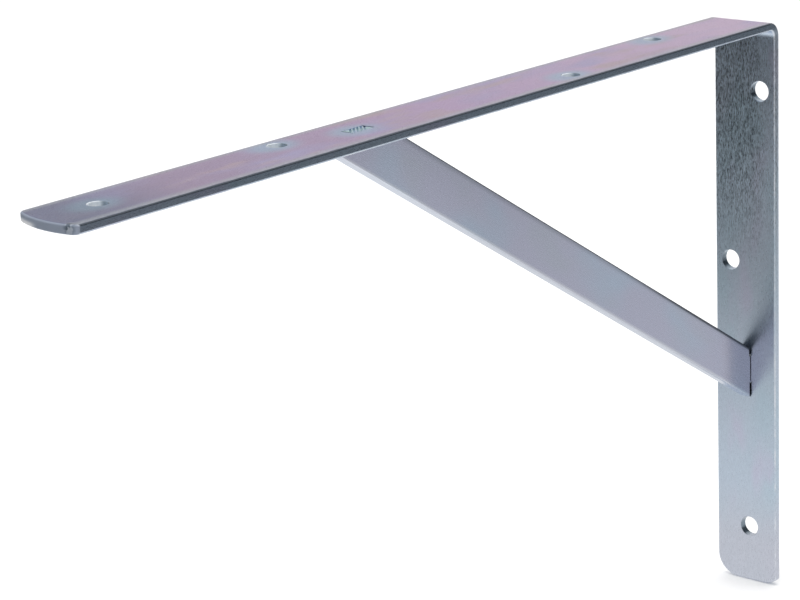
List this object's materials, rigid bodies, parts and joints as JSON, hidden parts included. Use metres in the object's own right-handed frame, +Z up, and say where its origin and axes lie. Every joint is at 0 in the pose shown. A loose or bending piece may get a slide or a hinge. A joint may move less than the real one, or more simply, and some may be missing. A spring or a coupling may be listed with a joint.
{
  "type": "gallows shelf bracket",
  "caption": "Right-angled flat steel shelf bracket with a riveted diagonal brace: the leg screws to a wall and the longer arm carries a shelf. Zinc-plated.",
  "frame": {"origin": "middle of the leg's wall face: on the wall plane, half way up the leg and half way across the bar", "axes": "+X out from the wall along the arm, +Y across the bar, +Z up along the leg to the shelf"},
  "size_m": [0.4, 0.03, 0.25],
  "materials": {
    "bar_zinc": "bright zinc plate with a clear blue passivation that shades to lilac and pale blue",
    "brace_zinc": "bright zinc plate with a clear blue passivation"
  },
  "bodies": {
    "root": {"bent_bar": "bar_zinc", "diagonal_brace": "brace_zinc"}
  },
  "joints": []
}
